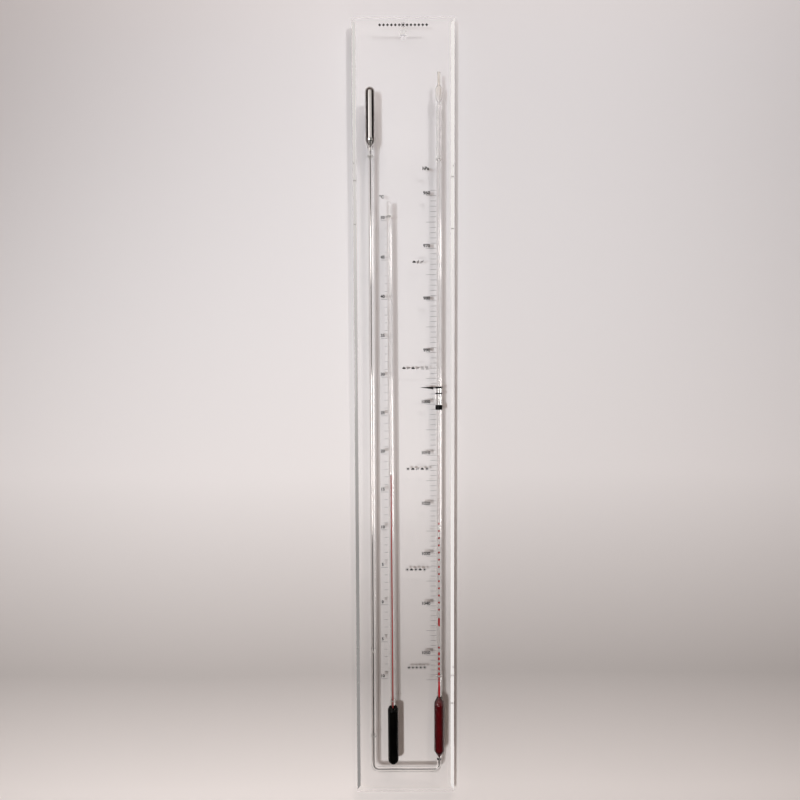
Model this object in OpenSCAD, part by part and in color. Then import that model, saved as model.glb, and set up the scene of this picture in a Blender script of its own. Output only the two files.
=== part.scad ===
// Wall barometer of the two-liquid kind: a sealed mercury bulb, a U-shaped glass tube and a
// reservoir of red fluid on a clear bevelled plate, with a spirit thermometer beside it and a
// marker that slides on the indicator tube. All sizes are in millimetres. The origin is on the
// axis of the hanging hole, in the plane of the plate's back; +Z is up and the front faces -Y.

/* [Backplate] */
// Width of the plate
plate_w = 120; // [108:1:150]
// Thickness of the plate
plate_t = 10; // [9:0.5:14]
// Bevel round the back face, along the face
back_bevel = 4; // [2:0.5:6]
// Small polished bevel round the front face
front_arris = 0.5; // [0.2:0.1:1.5]
// Plate above the axis of the hanging hole
plate_above_hole = 18.5; // [12:0.5:40]
// Plate below the axis of the tube's bottom run
plate_below_run = 32; // [15:1:60]
// Diameter of the hanging hole
hang_hole_d = 8; // [4:0.5:10]

/* [Glass tube] */
// Depth of the bottom run's axis below the hanging hole
run_drop = 879.5; // [700:0.5:1100]
// Distance of the mercury leg left of the plate's middle
mercury_leg_x = 38.8; // [34:0.1:46]
// Distance of the indicator tube right of the plate's middle
indicator_x = 41; // [36:0.1:46]
// Outside diameter of the capillary tubes
capillary_d = 5.8; // [5:0.1:6]
// Bore of the mercury leg and the bottom run
mercury_bore_d = 1; // [0.6:0.1:2]
// Bore of the indicator tube
indicator_bore_d = 1.5; // [0.8:0.1:2.4]
// Radius of the two bottom corners, to the tube's axis
corner_r = 6; // [4.5:0.5:8]
// Radius of the jogs that bring the bulbs forward, to the tube's axis
jog_r = 5; // [4:0.5:6]
// Swelling on the radius where two glass pieces are fused
weld_swell = 0.5; // [0.2:0.1:1.5]
// Height of the swelling on the mercury leg above the bottom run
leg_weld_rise = 149.5; // [60:0.5:400]

/* [Mercury bulb] */
// Outside diameter of the mercury bulb
mercury_bulb_d = 11.7; // [8:0.1:14]
// Wall of both bulbs
bulb_wall = 0.9; // [0.6:0.1:1.2]
// Depth of the bulb's top below the hanging hole
mercury_bulb_drop = 64.2; // [40:0.1:100]
// Length of the bulb from its top to its neck
mercury_bulb_l = 70.8; // [50:0.1:90]
// Length of the bulb's tapered shoulder
mercury_shoulder_l = 11; // [6:0.5:16]

/* [Fluid reservoir] */
// Outside diameter of the reservoir
reservoir_d = 12.3; // [11:0.1:14]
// Length of the reservoir from neck to neck
reservoir_l = 75.3; // [55:0.1:90]
// Length of the reservoir's upper shoulder
upper_shoulder_l = 10; // [6:0.5:16]
// Length of the reservoir's lower shoulder
lower_shoulder_l = 8.8; // [6:0.5:16]
// Height of the reservoir's lower neck above the bottom run
reservoir_rise = 17.7; // [17:0.1:30]
// Straight stub above the reservoir, before the jog
upper_stub_l = 11.5; // [4:0.5:20]

/* [Overflow] */
// Depth of the lower end of the overflow tube below the hanging hole
overflow_drop = 148.5; // [110:0.5:180]
// Length of the overflow tube
overflow_l = 62; // [40:0.5:90]
// Bore of the overflow tube
overflow_bore_d = 3.6; // [2:0.1:4.2]
// Diameter of the small bulb on top
overflow_bulb_d = 8; // [6.5:0.1:10]
// Length of the small bulb with its neck
overflow_bulb_l = 25.4; // [18:0.2:34]
// Wall of the small bulb
overflow_wall = 0.8; // [0.5:0.1:1]
// Outside diameter of the open tip
vent_d = 4; // [3:0.1:5]
// Bore of the open tip and of the small bulb's neck
vent_bore_d = 1.8; // [0.8:0.1:2]
// Length of the open tip
vent_l = 13.9; // [6:0.1:20]

/* [Liquids] */
// Depth of the thermometer's spirit level below the hanging hole
spirit_drop = 516.3; // [300:0.1:600]
// Gap between a liquid and the glass round it
liquid_gap = 0.02; // [0.01:0.01:0.05]
// Number of droplets left hanging above the red slug
droplets = 13; // [3:1:13]
// Spacing of those droplets
droplet_pitch = 8.75; // [6:0.25:9]
// Number of short dashes at the head of the red column
dashes = 6; // [2:1:6]
// Spacing of those dashes
dash_pitch = 6.2; // [5.5:0.1:6.5]
// Length of the red slug that has come away from the column
slug_l = 10.5; // [6:0.5:12]
// Height of that slug above the lower end of the indicator tube
slug_rise = 68; // [66:1:72]

/* [Thermometer] */
// Distance of the thermometer's top left of the plate's middle
thermometer_x = 17.6; // [14:0.1:20]
// Depth of the thermometer's top below the hanging hole
thermometer_drop = 194.1; // [150:0.1:240]
// Sideways lean of the thermometer, its foot towards the plate's middle, in degrees
thermometer_lean = 0.23; // [0:0.01:0.4]
// Outside diameter of the stem
stem_d = 6; // [5:0.1:7]
// Bore of the stem
stem_bore_d = 1; // [0.5:0.1:1.6]
// Outside diameter of the thermometer's bulb
spirit_bulb_d = 8.6; // [7.5:0.1:9]
// Outside diameter of the black cap
cap_d = 12.7; // [11.5:0.1:14]
// Length of the black cap
cap_l = 70.8; // [50:0.1:90]
// Space between the foot of the cap and the axis of the bottom run
cap_above_run = 8.6; // [6:0.1:20]

/* [Wire loops] */
// Diameter of the wire
wire_d = 0.9; // [0.6:0.1:1.2]
// Depth to which the two ends of a loop are let into the plate
tail_depth = 7; // [4:0.5:8]
// Height of the mercury leg's lower loop above the bottom run
leg_loop_rise = 43; // [20:1:120]
// Depth of the thermometer's upper loop below the thermometer's top
stem_loop_drop = 17.3; // [8:0.1:60]
// Height of the thermometer's lower loop above the cap
cap_loop_rise = 9; // [4:0.5:40]

/* [Marker] */
// Depth of the marker's top below the hanging hole
marker_drop = 410.9; // [200:0.1:500]
// Length of the marker
marker_l = 27.3; // [20:0.1:40]
// Wall of the clear sleeve
sleeve_wall = 0.7; // [0.5:0.1:1]
// Running clearance of the sleeve on the tube, on the radius
sleeve_gap = 0.06; // [0.03:0.01:0.1]
// Thickness of the black bands on the sleeve
band_wall = 0.5; // [0.3:0.1:0.8]
// Height of the lower band
lower_band_h = 5.6; // [3:0.1:8]
// Height of the middle ring
middle_ring_h = 1.4; // [0.8:0.1:2.5]
// Height of the pointer's ring
pointer_ring_h = 1.9; // [1.2:0.1:3]
// Depth of the middle ring's top below the marker's top
middle_ring_drop = 7.2; // [4:0.1:12]
// Reach of the pointer from the tube's axis to its tip
pointer_reach = 21.6; // [16:0.1:24]
// Height of the pointer at its root
pointer_h = 2.9; // [2:0.1:4]
// Thickness of the pointer
pointer_t = 1; // [0.6:0.1:1.6]

/* [Hidden] */
$fn = 96;

// Small distances that keep cuts clean and glued pieces apart
cut = 1;
seat_gap = 0.3;
glue_gap = 0.02;
wire_gap = 0.05;
bulb_gap = 0.5;

// Heights of the main points, all measured up from the hanging hole's axis
run_z = -run_drop;
plate_top_z = plate_above_hole;
plate_bottom_z = run_z - plate_below_run;
front_y = -plate_t;

// Radii of the marker, which with the wire loops set how far the tubes stand off the plate
sleeve_inner_r = capillary_d / 2 + sleeve_gap;
sleeve_outer_r = sleeve_inner_r + sleeve_wall;
band_inner_r = sleeve_outer_r + glue_gap;
band_r = band_inner_r + band_wall;
tube_standoff = max(band_r, capillary_d / 2 + wire_d + wire_gap) + seat_gap;
bulb_standoff = max(mercury_bulb_d, reservoir_d) / 2 + bulb_gap;
stem_top_standoff = max(tube_standoff, stem_d / 2 + wire_d + wire_gap + seat_gap);
tube_y = front_y - tube_standoff;
bulb_y = front_y - bulb_standoff;

// A jog is two equal arcs, one after the other, that move the axis from tube_y to bulb_y
jog = bulb_standoff - tube_standoff;
jog_angle = acos(1 - jog / (2 * jog_r));
jog_l = 2 * jog_r * sin(jog_angle);

mercury_x = -mercury_leg_x;
mercury_top_z = -mercury_bulb_drop;
mercury_neck_z = mercury_top_z - mercury_bulb_l;
leg_top_z = mercury_neck_z - jog_l;
leg_bottom_z = run_z + corner_r;
reservoir_low_z = run_z + reservoir_rise;
reservoir_top_z = reservoir_low_z + reservoir_l;
upper_jog_z = reservoir_top_z + upper_stub_l;
indicator_low_z = upper_jog_z + jog_l;
overflow_low_z = -overflow_drop;
overflow_top_z = overflow_low_z + overflow_l;

// Shapes of the blown glass
bulb_neck_l = 5;
stem_top_wall = 4;
weld_l = 5;
weld_inset = 0.5;
lower_riser = (reservoir_rise - corner_r - jog_l) / 2;
corner_steps = 9;

// The thermometer lies in its own frame: its top is the origin and its axis runs down -Z
cap_over_stem = 8;
cap_wall = (cap_d - spirit_bulb_d) / 2 - glue_gap;
cap_standoff = cap_d / 2 + seat_gap;
thermometer_l = run_drop - thermometer_drop - cap_above_run;
cap_top_z = -thermometer_l + cap_l;
spirit_bulb_low_z = -thermometer_l + cap_wall;
spirit_bulb_top_z = cap_top_z - cap_over_stem;
spirit_shoulder_l = 6;
depth_lean = atan((cap_standoff - stem_top_standoff) / (thermometer_l - cap_l / 2));
spirit_level = -(spirit_drop - thermometer_drop);

// Places of the wire loops along their tubes
mercury_upper_loop_z = leg_top_z - wire_d;
mercury_lower_loop_z = run_z + leg_loop_rise;
indicator_upper_loop_z = overflow_low_z + 2.5 * wire_d;
indicator_lower_loop_z = indicator_low_z + weld_l + 2 * wire_d;
stem_upper_loop_z = -stem_loop_drop;
stem_lower_loop_z = cap_top_z + cap_loop_rise;
tail_pitch = 1.1 * wire_d;

// Points of a smooth shoulder that takes a radius r0 at height z0 to r1 at height z1
function shoulder(r0, z0, r1, z1, steps = 10) = [
    for (i = [0 : steps])
        [r0 + (r1 - r0) * (1 - cos(180 * i / steps)) / 2, z0 + (z1 - z0) * i / steps]
];

// Points of a quarter round, from the side of a bulb at height z up to its pole
function dome(r, z, steps = 12) = [
    for (i = [0 : steps]) [r * cos(90 * i / steps), z + r * sin(90 * i / steps)]
];

// Points of a quarter round, from a bulb's lower pole up to its side at height z
function foot(r, z, steps = 12) = [
    for (i = [steps : -1 : 0]) [r * cos(90 * i / steps), z - r * sin(90 * i / steps)]
];

// Turns a half profile, closed along the axis, round a vertical axis
module turned(profile) {
    rotate_extrude() polygon(profile);
}

// A straight round bar or bore between two heights
module bar(d, low, high) {
    translate([0, 0, low]) cylinder(d = d, h = high - low);
}

// A ring of a swept tube is its middle and the two directions that span it. This one belongs
// to a tube that runs in the XZ plane at an angle from straight up, towards +X
function run_ring(middle, angle) = [middle, [cos(angle), 0, -sin(angle)], [0, 1, 0]];

// A ring of a tube that runs in the YZ plane at an angle from straight up, towards -Y
function jog_ring(middle, angle) = [middle, [1, 0, 0], [0, cos(angle), sin(angle)]];

// Rings of a jog that goes up from start and moves the axis out towards -Y, or in for side -1
function jog_rings(start, side = 1, steps = 4) = concat(
    [
        for (i = [0 : steps], a = jog_angle * i / steps)
            jog_ring(start + jog_r * [0, -side * (1 - cos(a)), sin(a)], side * a)
    ],
    [
        for (i = [steps - 1 : -1 : 0], a = jog_angle * i / steps)
            jog_ring(
                start + [0, -side * jog, jog_l] - jog_r * [0, -side * (1 - cos(a)), sin(a)],
                side * a
            )
    ]
);

// A round tube swept through rings, with a bore of inner_d, or solid where that is 0
module swept(rings, outer_d, inner_d = 0, sides = 32) {
    last = len(rings) - 1;
    hollow = inner_d > 0;
    function circle_points(d) = [
        for (ring = rings, k = [0 : sides - 1])
            ring[0] + d / 2 * (cos(360 * k / sides) * ring[1] + sin(360 * k / sides) * ring[2])
    ];
    function at(i, k, inside = 0) = (inside * (last + 1) + i) * sides + (k % sides);
    function quad(a, b, c, d) = [[a, b, c], [a, c, d]];
    outer_faces = [
        for (i = [0 : last - 1], k = [0 : sides - 1])
            each quad(at(i, k), at(i + 1, k), at(i + 1, k + 1), at(i, k + 1))
    ];
    inner_faces = [
        for (i = [0 : last - 1], k = [0 : sides - 1])
            each quad(at(i, k, 1), at(i, k + 1, 1), at(i + 1, k + 1, 1), at(i + 1, k, 1))
    ];
    ring_ends = [
        for (k = [0 : sides - 1]) each concat(
            quad(at(0, k), at(0, k + 1), at(0, k + 1, 1), at(0, k, 1)),
            quad(at(last, k + 1), at(last, k), at(last, k, 1), at(last, k + 1, 1))
        )
    ];
    disc_ends = [
        [for (k = [0 : sides - 1]) at(0, k)],
        [for (k = [sides - 1 : -1 : 0]) at(last, k)]
    ];
    polyhedron(
        points = concat(circle_points(outer_d), hollow ? circle_points(inner_d) : []),
        faces = concat(outer_faces, hollow ? concat(inner_faces, ring_ends) : disc_ends),
        convexity = 6
    );
}

// Half profile of a straight capillary from low to high, swollen where glass is fused at z
function welded_tube(low, high, z) = concat(
    [[0, low], [capillary_d / 2, low]],
    shoulder(capillary_d / 2, z - weld_l / 2, capillary_d / 2 + weld_swell, z, 6),
    shoulder(capillary_d / 2 + weld_swell, z, capillary_d / 2, z + weld_l / 2, 6),
    [[capillary_d / 2, high], [0, high]]
);

// Section of the plate, its back bevelled and its front edge broken, for a width w
function plate_section(w) = [
    [-w / 2 + front_arris, front_y], [w / 2 - front_arris, front_y],
    [w / 2, front_y + front_arris], [w / 2, -back_bevel],
    [w / 2 - back_bevel, 0], [-w / 2 + back_bevel, 0],
    [-w / 2, -back_bevel], [-w / 2, front_y + front_arris]
];

module backplate() {
    plate_h = plate_top_z - plate_bottom_z;
    mid_z = (plate_top_z + plate_bottom_z) / 2;
    color([0.93, 0.95, 0.95, 0.35]) difference() {
        intersection() {
            translate([0, 0, plate_bottom_z]) linear_extrude(plate_h)
                polygon(plate_section(plate_w));
            translate([-plate_w / 2, 0, mid_z]) rotate([90, 0, 90])
                linear_extrude(plate_w)
                    polygon([for (p = plate_section(plate_h)) [p[1], p[0]]]);
        }
        rotate([90, 0, 0]) translate([0, 0, -cut])
            cylinder(d = hang_hole_d, h = plate_t + 2 * cut);
        loop_holes();
    }
}

// Outside and inside of the mercury bulb; gap shrinks the inside to the liquid's size
function mercury_bulb_outline() = concat(
    [[0, mercury_neck_z]],
    shoulder(capillary_d / 2, mercury_neck_z, mercury_bulb_d / 2, mercury_neck_z + mercury_shoulder_l),
    dome(mercury_bulb_d / 2, mercury_top_z - mercury_bulb_d / 2)
);
function mercury_room_outline(gap = 0) = concat(
    [[0, mercury_neck_z]],
    shoulder(
        mercury_bore_d / 2 - gap, mercury_neck_z,
        mercury_bulb_d / 2 - bulb_wall - gap, mercury_neck_z + mercury_shoulder_l
    ),
    dome(mercury_bulb_d / 2 - bulb_wall - gap, mercury_top_z - mercury_bulb_d / 2)
);

module mercury_bulb() {
    color([0.85, 0.9, 0.9, 0.4]) translate([mercury_x, bulb_y, 0]) difference() {
        turned(mercury_bulb_outline());
        turned(mercury_room_outline());
    }
}

// The neck under the bulb is a jog that brings the leg back towards the plate
mercury_neck_rings = jog_rings([mercury_x, tube_y, leg_top_z]);

module mercury_bulb_neck() {
    color([0.85, 0.9, 0.9, 0.4]) swept(mercury_neck_rings, capillary_d, mercury_bore_d);
}

module mercury_leg_tube() {
    color([0.85, 0.9, 0.9, 0.4]) translate([mercury_x, tube_y, 0]) difference() {
        turned(welded_tube(leg_bottom_z, leg_top_z, run_z + leg_weld_rise));
        bar(mercury_bore_d, leg_bottom_z - cut, leg_top_z + cut);
    }
}

// The two bottom corners, the run between them and the riser with its jog to the reservoir
bend_rings = concat(
    [
        for (b = [0 : 90 / corner_steps : 90])
            run_ring(
                [mercury_x + corner_r * (1 - cos(b)), tube_y, leg_bottom_z - corner_r * sin(b)],
                180 - b
            )
    ],
    [
        for (b = [0 : 90 / corner_steps : 90])
            run_ring(
                [indicator_x - corner_r * (1 - sin(b)), tube_y, leg_bottom_z - corner_r * cos(b)],
                90 - b
            )
    ],
    jog_rings([indicator_x, tube_y, leg_bottom_z + lower_riser]),
    [jog_ring([indicator_x, bulb_y, reservoir_low_z], 0)]
);

module bottom_bend() {
    color([0.85, 0.9, 0.9, 0.4]) swept(bend_rings, capillary_d, mercury_bore_d);
}

// Inside of the reservoir; gap shrinks it to the fluid's size
function reservoir_room_outline(gap = 0) = concat(
    [[0, reservoir_low_z]],
    shoulder(
        mercury_bore_d / 2 - gap, reservoir_low_z,
        reservoir_d / 2 - bulb_wall - gap, reservoir_low_z + lower_shoulder_l
    ),
    shoulder(
        reservoir_d / 2 - bulb_wall - gap, reservoir_top_z - upper_shoulder_l,
        indicator_bore_d / 2 - gap, reservoir_top_z
    ),
    [[0, reservoir_top_z]]
);

module fluid_reservoir() {
    color([0.85, 0.9, 0.9, 0.4]) translate([indicator_x, bulb_y, 0]) difference() {
        turned(concat(
            [[0, reservoir_low_z]],
            shoulder(capillary_d / 2, reservoir_low_z, reservoir_d / 2, reservoir_low_z + lower_shoulder_l),
            shoulder(reservoir_d / 2, reservoir_top_z - upper_shoulder_l, capillary_d / 2, reservoir_top_z),
            [[0, reservoir_top_z]]
        ));
        turned(reservoir_room_outline());
    }
}

// The stub above the reservoir and the jog back towards the plate
reservoir_neck_rings = concat(
    [jog_ring([indicator_x, bulb_y, reservoir_top_z], 0)],
    jog_rings([indicator_x, bulb_y, upper_jog_z], -1)
);

module reservoir_neck() {
    color([0.85, 0.9, 0.9, 0.4]) swept(reservoir_neck_rings, capillary_d, indicator_bore_d);
}

module indicator_tube() {
    color([0.85, 0.9, 0.9, 0.4]) translate([indicator_x, tube_y, 0]) difference() {
        turned(welded_tube(
            indicator_low_z, overflow_low_z, indicator_low_z + weld_l / 2 + weld_inset
        ));
        bar(indicator_bore_d, indicator_low_z - cut, overflow_low_z + cut);
    }
}

module overflow_tube() {
    color([0.85, 0.9, 0.9, 0.4]) translate([indicator_x, tube_y, 0]) difference() {
        bar(capillary_d, overflow_low_z, overflow_top_z);
        bar(overflow_bore_d, overflow_low_z - cut, overflow_top_z + cut);
    }
}

// A small blown bulb with a waist below it and an open tip above it
module overflow_bulb() {
    r = overflow_bulb_d / 2;
    waist_z = overflow_top_z + bulb_neck_l;
    widest_z = waist_z + (overflow_bulb_l - bulb_neck_l) / 3;
    shoulder_z = overflow_top_z + overflow_bulb_l - bulb_neck_l;
    tip_z = overflow_top_z + overflow_bulb_l;
    color([0.85, 0.9, 0.9, 0.4]) translate([indicator_x, tube_y, 0]) difference() {
        turned(concat(
            [[0, overflow_top_z]],
            shoulder(capillary_d / 2, overflow_top_z, vent_d / 2, waist_z, 6),
            shoulder(vent_d / 2, waist_z, r, widest_z, 8),
            shoulder(r, shoulder_z, vent_d / 2, tip_z, 8),
            [[vent_d / 2, tip_z + vent_l], [0, tip_z + vent_l]]
        ));
        turned(concat(
            [[0, overflow_top_z], [overflow_bore_d / 2, overflow_top_z]],
            shoulder(overflow_bore_d / 2, overflow_top_z + overflow_wall, vent_bore_d / 2, waist_z, 6),
            shoulder(vent_bore_d / 2, waist_z, r - overflow_wall, widest_z, 8),
            shoulder(r - overflow_wall, shoulder_z, vent_bore_d / 2, tip_z, 8),
            [[vent_bore_d / 2, tip_z + vent_l], [0, tip_z + vent_l]]
        ));
    }
}

// The mercury fills the bulb, the leg and the bottom run as far as the reservoir's neck
module mercury_in_bulb() {
    color([0.75, 0.76, 0.78]) translate([mercury_x, bulb_y, 0])
        turned(mercury_room_outline(liquid_gap));
}

module mercury_in_neck() {
    color([0.75, 0.76, 0.78]) swept(mercury_neck_rings, mercury_bore_d - 2 * liquid_gap, sides = 24);
}

module mercury_in_leg() {
    color([0.75, 0.76, 0.78]) translate([mercury_x, tube_y, 0])
        bar(mercury_bore_d - 2 * liquid_gap, leg_bottom_z, leg_top_z);
}

module mercury_in_bend() {
    color([0.75, 0.76, 0.78]) swept(bend_rings, mercury_bore_d - 2 * liquid_gap, sides = 24);
}

// The red fluid fills the reservoir and the neck above it
module red_fluid_in_reservoir() {
    color([0.35, 0.02, 0.03]) translate([indicator_x, bulb_y, 0])
        turned(reservoir_room_outline(liquid_gap));
}

module red_fluid_in_neck() {
    color([0.35, 0.02, 0.03])
        swept(reservoir_neck_rings, indicator_bore_d - 2 * liquid_gap, sides = 24);
}

// A bead of fluid in the indicator's bore, with round ends, from low to high
module bead(low, high) {
    r = indicator_bore_d / 2 - liquid_gap;
    turned(concat(foot(r, low + r, 4), dome(r, high - r, 4)));
}

// The head of the red column is broken up: dashes, a single bead, a long slug and a row of
// droplets, all measured up from the lower end of the indicator tube
module red_fluid_droplets() {
    first_dash_rise = 1;
    dash_l = 4.2;
    droplet_l = 2.6;
    bead_rise = slug_rise - 27.5;
    slug_top_rise = slug_rise + slug_l;
    color([0.6, 0.05, 0.05]) translate([indicator_x, tube_y, indicator_low_z]) {
        for (i = [0 : dashes - 1], rise = first_dash_rise + i * dash_pitch)
            bead(rise, rise + dash_l);
        bead(bead_rise, bead_rise + droplet_l);
        bead(slug_rise, slug_top_rise);
        for (i = [1 : droplets], rise = slug_top_rise + i * droplet_pitch)
            bead(rise, rise + droplet_l);
    }
}

// Puts a child drawn round the thermometer's own axis in its place on the plate
module on_thermometer() {
    translate([-thermometer_x, front_y - stem_top_standoff, -thermometer_drop])
        rotate([-depth_lean, -thermometer_lean, 0]) children();
}

module thermometer_stem() {
    low = spirit_bulb_top_z;
    color([0.85, 0.9, 0.9, 0.4]) on_thermometer() difference() {
        turned(concat([[0, low], [stem_d / 2, low]], dome(stem_d / 2, -stem_d / 2)));
        bar(stem_bore_d, low - cut, -stem_top_wall);
    }
}

// Half profile of the thermometer's bulb, for a side radius r and a neck radius n
function spirit_bulb_outline(r, n) = concat(
    foot(r, spirit_bulb_low_z + spirit_bulb_d / 2),
    shoulder(r, spirit_bulb_top_z - spirit_shoulder_l, n, spirit_bulb_top_z, 8),
    [[0, spirit_bulb_top_z]]
);

module thermometer_bulb() {
    color([0.85, 0.9, 0.9, 0.4]) on_thermometer() difference() {
        turned(spirit_bulb_outline(spirit_bulb_d / 2, stem_d / 2));
        turned(spirit_bulb_outline(spirit_bulb_d / 2 - bulb_wall, stem_bore_d / 2));
    }
}

module spirit_in_bulb() {
    color([0.75, 0.05, 0.08]) on_thermometer()
        turned(spirit_bulb_outline(
            spirit_bulb_d / 2 - bulb_wall - liquid_gap, stem_bore_d / 2 - liquid_gap
        ));
}

module spirit_column() {
    color([0.75, 0.05, 0.08]) on_thermometer()
        bar(stem_bore_d - 2 * liquid_gap, spirit_bulb_top_z, spirit_level);
}

// A closed black cap pushed over the bulb from below; its lip closes on the stem
module thermometer_cap() {
    r = cap_d / 2;
    hollow_r = spirit_bulb_d / 2 + glue_gap;
    lip_r = stem_d / 2 + glue_gap;
    lip_l = 3;
    lip_round = 1.2;
    color([0.04, 0.04, 0.05]) on_thermometer() difference() {
        turned(concat(
            foot(r, -thermometer_l + r),
            shoulder(r, cap_top_z - lip_l, r - lip_round, cap_top_z, 6),
            [[0, cap_top_z]]
        ));
        turned(concat(
            foot(hollow_r, spirit_bulb_low_z + spirit_bulb_d / 2),
            shoulder(
                hollow_r, spirit_bulb_top_z - spirit_shoulder_l + cut,
                lip_r, cap_top_z - lip_l, 8
            ),
            [[lip_r, cap_top_z + cut], [0, cap_top_z + cut]]
        ));
    }
}

// A loop of wire round a tube of diameter d, with its two ends side by side in one hole of
// the plate, standoff away from it
module wire_loop(d, standoff) {
    ring_r = (d + wire_d) / 2 + wire_gap;
    color([0.7, 0.7, 0.68]) {
        rotate_extrude() translate([ring_r, 0]) circle(d = wire_d);
        for (side = [-1, 1])
            translate([side * tail_pitch / 2, 0, 0]) tail(wire_d, ring_r, standoff);
    }
}

// One end of the wire, or with a larger diameter their hole, from start back into the plate
module tail(d, start, standoff) {
    translate([0, start, 0]) rotate([-90, 0, 0])
        cylinder(d = d, h = standoff - start + tail_depth);
}

// The places of the six loops: each is called for the loop itself and for its hole
module at_mercury_loop(z) {
    translate([mercury_x, tube_y, z]) children();
}
module at_indicator_loop(z) {
    translate([indicator_x, tube_y, z]) children();
}
module at_stem_loop(z) {
    on_thermometer() translate([0, 0, z]) children();
}

// How far the thermometer's axis stands off the plate at a height in its own frame
function stem_standoff(z) = stem_top_standoff - z * tan(depth_lean);

module loop_holes() {
    hole_d = tail_pitch + wire_d + 2 * glue_gap;
    start = capillary_d / 2;
    for (z = [mercury_upper_loop_z, mercury_lower_loop_z])
        at_mercury_loop(z) tail(hole_d, start, tube_standoff);
    for (z = [indicator_upper_loop_z, indicator_lower_loop_z])
        at_indicator_loop(z) tail(hole_d, start, tube_standoff);
    for (z = [stem_upper_loop_z, stem_lower_loop_z])
        at_stem_loop(z) tail(hole_d, start, stem_standoff(z));
}

module mercury_leg_upper_loop() {
    at_mercury_loop(mercury_upper_loop_z) wire_loop(capillary_d, tube_standoff);
}
module mercury_leg_lower_loop() {
    at_mercury_loop(mercury_lower_loop_z) wire_loop(capillary_d, tube_standoff);
}
module indicator_upper_loop() {
    at_indicator_loop(indicator_upper_loop_z) wire_loop(capillary_d, tube_standoff);
}
module indicator_lower_loop() {
    at_indicator_loop(indicator_lower_loop_z) wire_loop(capillary_d, tube_standoff);
}
module thermometer_upper_loop() {
    at_stem_loop(stem_upper_loop_z) wire_loop(stem_d, stem_standoff(stem_upper_loop_z));
}
module thermometer_lower_loop() {
    at_stem_loop(stem_lower_loop_z) wire_loop(stem_d, stem_standoff(stem_lower_loop_z));
}

// Puts a child round the indicator tube, its top at the top of the marker
module on_marker() {
    translate([indicator_x, tube_y, -marker_drop]) children();
}

// A band of height h round the sleeve, its top drop below the marker's top
module band(h, drop) {
    translate([0, 0, -drop - h]) difference() {
        cylinder(r = band_r, h = h);
        translate([0, 0, -cut]) cylinder(r = band_inner_r, h = h + 2 * cut);
    }
}

module marker_sleeve() {
    color([0.9, 0.92, 0.92, 0.4]) on_marker() translate([0, 0, -marker_l]) difference() {
        cylinder(r = sleeve_outer_r, h = marker_l);
        translate([0, 0, -cut]) cylinder(r = sleeve_inner_r, h = marker_l + 2 * cut);
    }
}

// The pointer is a flat tapered blade on a short neck, in one piece with its ring
module marker_pointer() {
    neck_l = 2.5;
    neck_h = 0.9;
    blade_drop = 0.1;
    tip_drop = 0.5;
    tip_h = 0.3;
    root_x = band_r + neck_l;
    neck_low = -(pointer_ring_h + neck_h) / 2;
    color([0.03, 0.03, 0.03]) on_marker() {
        band(pointer_ring_h, 0);
        translate([0, pointer_t / 2, 0]) rotate([90, 0, 0]) linear_extrude(pointer_t) {
            polygon([
                [-root_x, -blade_drop], [-pointer_reach, -tip_drop],
                [-pointer_reach, -tip_drop - tip_h], [-root_x, -blade_drop - pointer_h]
            ]);
            translate([-root_x - neck_h, neck_low])
                square([neck_l + neck_h + band_wall / 2, neck_h]);
        }
    }
}

module marker_middle_ring() {
    color([0.03, 0.03, 0.03]) on_marker() band(middle_ring_h, middle_ring_drop);
}

module marker_lower_band() {
    color([0.03, 0.03, 0.03]) on_marker() band(lower_band_h, marker_l - lower_band_h);
}

backplate();
mercury_bulb();
mercury_bulb_neck();
mercury_leg_tube();
bottom_bend();
fluid_reservoir();
reservoir_neck();
indicator_tube();
overflow_tube();
overflow_bulb();
mercury_in_bulb();
mercury_in_neck();
mercury_in_leg();
mercury_in_bend();
red_fluid_in_reservoir();
red_fluid_in_neck();
red_fluid_droplets();
thermometer_stem();
thermometer_bulb();
thermometer_cap();
spirit_in_bulb();
spirit_column();
mercury_leg_upper_loop();
mercury_leg_lower_loop();
indicator_upper_loop();
indicator_lower_loop();
thermometer_upper_loop();
thermometer_lower_loop();
marker_sleeve();
marker_pointer();
marker_middle_ring();
marker_lower_band();
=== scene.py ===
"""Looks of the wall barometer: blown glass, liquids, printed scales, finishes, light and camera.

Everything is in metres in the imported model's own frame: X to the right, Y into the wall, Z up,
with the origin on the axis of the hanging hole at the plate's back.
"""
import math
import bpy
from mathutils import Matrix, Vector


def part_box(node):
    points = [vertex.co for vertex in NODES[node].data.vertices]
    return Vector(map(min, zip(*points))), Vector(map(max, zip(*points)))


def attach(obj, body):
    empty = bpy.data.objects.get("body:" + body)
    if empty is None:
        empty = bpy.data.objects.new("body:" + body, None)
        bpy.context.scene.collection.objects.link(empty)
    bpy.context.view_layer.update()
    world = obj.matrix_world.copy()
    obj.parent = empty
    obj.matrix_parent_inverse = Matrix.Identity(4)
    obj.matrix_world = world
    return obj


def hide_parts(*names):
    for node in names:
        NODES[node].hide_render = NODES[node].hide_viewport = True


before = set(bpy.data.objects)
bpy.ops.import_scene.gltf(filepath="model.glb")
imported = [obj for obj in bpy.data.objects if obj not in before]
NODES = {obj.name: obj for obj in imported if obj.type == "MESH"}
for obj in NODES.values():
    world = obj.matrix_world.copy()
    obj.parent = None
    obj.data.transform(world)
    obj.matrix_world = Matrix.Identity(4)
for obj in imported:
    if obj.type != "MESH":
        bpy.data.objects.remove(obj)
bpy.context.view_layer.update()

MM = 0.001


def low(node):
    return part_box(node)[0]


def high(node):
    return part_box(node)[1]


def middle(node):
    return (low(node) + high(node)) / 2


def radius_of(node):
    return (high(node).x - low(node).x) / 2


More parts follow.
